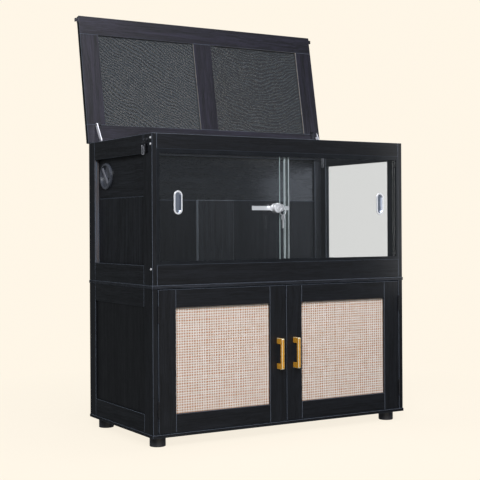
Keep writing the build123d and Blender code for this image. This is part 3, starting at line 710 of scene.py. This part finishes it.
def weave(side, weft_finish, warp_finish):
    """Flat wefts that bow out between pairs of thin warps and pass behind them, in front of the
    panel.
    """
    low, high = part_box(f"door_{side}_rattan")
    x0, x1 = low.x + RATTAN_BEAD, high.x - RATTAN_BEAD
    z0, z1 = low.z + RATTAN_BEAD, high.z - RATTAN_BEAD
    front = low.y - WEAVE_RISE - WEAVE_OFF
    out, right, up = Vector((0, -1, 0)), Vector((1, 0, 0)), Vector((0, 0, 1))
    columns, rows = round((x1 - x0) / CELL_WIDE), round((z1 - z0) / CELL_TALL)
    step_x, step_z = (x1 - x0) / columns, (z1 - z0) / rows
    shift_x = [random.gauss(0, 0.45 * MM) for _ in range(columns)]
    shift_z = [random.gauss(0, 0.35 * MM) for _ in range(rows)]

    weft, warp = ([], []), ([], [])
    for j in range(rows):
        z = z0 + (j + 0.5) * step_z + shift_z[j]
        line = []
        for i in range(2 * columns + 1):
            rise = WEAVE_RISE * (0.4 if i % 2 == 0 else -0.2)
            place = Vector((x0 + i * step_x / 2, front - rise, z + sway(j, i / columns)))
            line.append(place)
        width = WEFT_WIDTH * random.uniform(0.90, 1.08)
        ribbon(*weft, line, up, out, width, WEAVE_THICK)
    for i in range(columns):
        for pair in (-1, 1):
            offset = pair * (WARP_WIDTH + WARP_SPLIT) / 2
            x = x0 + (i + 0.5) * step_x + shift_x[i] + offset
            line = []
            for j in range(2 * rows + 1):
                rise = WEAVE_RISE * (0.9 if j % 2 == 0 else 1.1)
                z = z0 + j * step_z / 2
                line.append(Vector((x + sway(i, j / rows), front - rise, z)))
            width = WARP_WIDTH * random.uniform(0.9, 1.05)
            ribbon(*warp, line, right, out, width, WEAVE_THICK)
    for kind, mesh, finish in (("weft", weft, weft_finish), ("warp", warp, warp_finish)):
        name, body = f"rattan_{side}_{kind}", f"door_{side}"
        paint(finish, piece(name, *mesh, body, "rattan_weave", smooth=True).name)


def rattan():
    """Both doors' panels and the strands woven in front of them."""
    # warps painted paler than the wefts: painted light against the wefts' shadow
    weft = strand("rattan_weft", (30, 30, 900), 0.94)
    warp = strand("rattan_warp", (900, 30, 30), 1.12)
    panel = web()
    for side in ("left", "right"):
        paint(panel, f"door_{side}_rattan")
        weave(side, weft, warp)


# ---- lid mesh --------------------------------------------------------------------------------
def painted_moire_bands(t):
    """Painted moiré bands of sheen across the wires, bowed on the right and aslant on the left."""
    x, z = t.axis("X"), t.axis("Z")
    wander = t.math("MULTIPLY", t.noise(9.0, 1.0), 0.06)
    bow = t.math("MULTIPLY", t.math("POWER", t.math("SUBTRACT", x, 0.24), 2.0), -1.6)
    slant = t.math("MULTIPLY", x, 0.55)
    course = t.blend(t.over(x, 0.0), slant, bow)
    course = t.math("ADD", t.math("ADD", z, course), wander)
    wave = t.math("SINE", t.math("MULTIPLY", course, 2 * math.pi / WAVE_PITCH))
    return t.spread(wave, -1.0, 1.0, 0.1, 0.9)


def wire_finish():
    """Dull black wire with painted moiré bands of sheen, stronger in the left panel than in the
    right one, and a little darker on the left.
    """
    t = Finish("mesh_wire")
    worn = t.noise(70.0, 2.0)
    level = t.noise((40.0, 40.0, 500.0), 1.0)
    tone = t.math("ADD", t.math("MULTIPLY", worn, 0.7), t.math("MULTIPLY", level, 0.3))
    past = t.over(t.axis("X"), 0.0)
    wave = t.math("MULTIPLY", painted_moire_bands(t), t.blend(past, 0.50, 0.26))
    tone = t.math("ADD", t.math("MULTIPLY", tone, 0.6), wave)
    tone = t.math("SUBTRACT", tone, t.blend(past, 0.04, 0.0))
    light = [c * 5.0 for c in MESH_GREY[:3]] + [1.0]
    return t.principled(
        {
            "Base Color": t.mix(t.spread(tone, 0.35, 0.65), MESH_GREY, light),
            "Metallic": 0.35,
            "Roughness": t.spread(worn, 0.3, 0.7, 0.42, 0.55),
        }
    )


def mesh_panel(name, x0, x1):
    """Uprights in front of cross wires, between two stiles and tucked under them."""
    low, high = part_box("lid_mesh")
    up = Vector((0, math.sin(LEAN), math.cos(LEAN)))
    out = Vector((0, -math.cos(LEAN), math.sin(LEAN)))
    middle = Vector((0, (low.y + high.y) / 2, (low.z + high.z) / 2))
    length = (high.z - low.z) / math.cos(LEAN) - 1 * MM
    x0, x1 = x0 - WIRE_TUCK, x1 + WIRE_TUCK
    points, faces = [], []
    for k in range(int((x1 - x0) / WIRE_PITCH) + 1):
        place = middle + out * WIRE_RADIUS + Vector((x0 + k * WIRE_PITCH, 0, 0))
        bar(points, faces, place - up * length / 2, place + up * length / 2, WIRE_RADIUS)
    for k in range(int(length / WIRE_PITCH)):
        place = middle - out * WIRE_RADIUS + up * ((k + 0.5) * WIRE_PITCH - length / 2)
        ends = [place + Vector((x, 0, 0)) for x in (x0, x1)]
        bar(points, faces, *ends, WIRE_RADIUS)
    return piece(f"mesh_{name}", points, faces, "lid", "lid_mesh", smooth=True)


def lid_mesh():
    """The lid's two panels of wire, in place of the plain sheets."""
    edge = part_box("lid_stiles")[1].x - SIDE_STILE
    wire = wire_finish()
    left = mesh_panel("left", -edge, -MIDDLE_STILE / 2)
    right = mesh_panel("right", MIDDLE_STILE / 2, edge)
    paint(wire, left.name, right.name)
    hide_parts("lid_mesh")


# ---- light, floor and camera -----------------------------------------------------------------
def softbox(name, place, aim, size, power, colour=(1.0, 1.0, 1.0)):
    """A rectangular lamp at a place, turned to what it lights; the power is in watts."""
    data = bpy.data.lights.new(name, "AREA")
    data.shape, data.size, data.size_y = "RECTANGLE", *size
    data.energy, data.color = power, colour
    lamp = bpy.data.objects.new(name, data)
    bpy.context.scene.collection.objects.link(lamp)
    lamp.location = place
    toward = Vector(aim) - Vector(place)
    lamp.rotation_euler = toward.to_track_quat("-Z", "Y").to_euler()
    return lamp


def sweep_mesh():
    """Disc that curves up into a dome: rings from a profile, closed at foot and top."""
    rings = ((2.0, 0.0), (5.0, 0.0), (7.0, 0.25), (8.4, 1.3), (9.0, 3.0), (8.4, 6.2), (5.5, 8.6))
    below, top, turns = 0.5 * MM, 9.6, 48
    points, faces = [], []
    for radius, height in rings:
        for k in range(turns):
            angle = 2 * math.pi * k / turns
            flat = radius * math.cos(angle), radius * math.sin(angle)
            points.append((*flat, height - below))
    foot, crown = len(points), len(points) + 1
    points += [(0, 0, -below), (0, 0, top)]
    last = (len(rings) - 1) * turns
    for k in range(turns):
        n = (k + 1) % turns
        for a in range(0, last, turns):
            faces.append((a + k, a + n, a + turns + n, a + turns + k))
        faces += [(foot, n, k), (crown, last + k, last + n)]
    mesh = bpy.data.meshes.new("sweep")
    mesh.from_pydata(points, [], faces)
    mesh.shade_smooth()
    return mesh


def stage():
    """Pale floor that curves up into a pale dome, as a photographer's sweep does."""
    sweep = bpy.data.objects.new("sweep", sweep_mesh())
    bpy.context.scene.collection.objects.link(sweep)
    # seen and shadowed, but neither lights the object nor shows in its gloss
    sweep.visible_diffuse = sweep.visible_glossy = False
    sweep.visible_transmission = False

    t = Finish("sweep")
    away = t.node("VectorMath", {0: t.place}, operation="LENGTH").outputs["Value"]
    shaded = t.spread(away, 0.6, 1.6, 0.10, 0.0)
    glow = t.node("Emission", {"Color": CREAM, "Strength": 1.0})
    matt = t.node("BsdfDiffuse", {"Color": CREAM})
    inputs = {0: shaded, 1: glow.outputs[0], 2: matt.outputs[0]}
    paint(t.done(t.node("MixShader", inputs).outputs[0]), "sweep")


def lights():
    """Soft studio lamps, a brighter outside of the side window, and light off the floor."""
    world = bpy.data.worlds.new("studio")
    bpy.context.scene.world = world
    world.use_nodes = True
    background = world.node_tree.nodes["Background"]
    background.inputs["Color"].default_value = (0.90, 0.95, 1.0, 1.0)
    background.inputs["Strength"].default_value = 0.15
    middle, cool = (0, 0, 0.7), (0.93, 0.96, 1.0)
    softbox("key", (-2.6, -3.9, 3.0), middle, (2.6, 2.0), 240, cool)
    softbox("sheen", (-0.3, -2.9, 3.2), (-0.6, 0.2, 1.3), (1.1, 1.1), 50, (0.97, 0.93, 1.0))
    softbox("right", (2.6, -4.0, 0.95), (0.1, 0, 0.7), (3.2, 1.9), 2.6, (0.85, 0.93, 1.0))
    softbox("behind", (-2.6, 3.2, 2.6), (-0.4, 0, 1.0), (1.6, 1.2), 3, cool)
    softbox("top", (0.2, 0.2, 3.6), (0, 0, 0.9), (2.0, 1.2), 50, cool)
    hidden = [
        softbox("window", (0.75, -0.315, 0.80), (0.40, 0.245, 0.80), (0.42, 0.7), 1.6),
        softbox("bounce", (-0.5, -2.0, 0.04), (0.0, 0.4, 1.3), (2.4, 1.2), 4, CREAM[:3]),
    ]
    for lamp in hidden:
        lamp.visible_camera = False


def camera():
    """Level camera to the left of the front; focal length and horizon are in pixels."""
    place = Vector((-1.9723, -3.2980, 0.6746))
    turn, tip = math.radians(30.782), math.radians(-0.321)
    focal, frame_width, horizon = 1107.19, 480.0, 226.87
    forward = Vector((math.sin(turn), math.cos(turn), 0))
    level, up = Vector((math.cos(turn), -math.sin(turn), 0)), Vector((0, 0, 1))
    side = level * math.cos(tip) + up * math.sin(tip)
    above = up * math.cos(tip) - level * math.sin(tip)
    data = bpy.data.cameras.new("camera")
    data.sensor_width = 36.0
    data.lens = focal / frame_width * data.sensor_width
    data.shift_y = (horizon - frame_width / 2) / frame_width
    made = bpy.data.objects.new("camera", data)
    bpy.context.scene.collection.objects.link(made)
    turned = Matrix((side, above, -forward)).transposed().to_4x4()
    made.matrix_world = Matrix.Translation(place) @ turned
    bpy.context.scene.camera = made
    bpy.context.scene.view_settings.view_transform = "Standard"


laminates()
lid_boards()
glazing()
plastics()
screws(metals())
rattan()
lid_mesh()
stage()
lights()
camera()
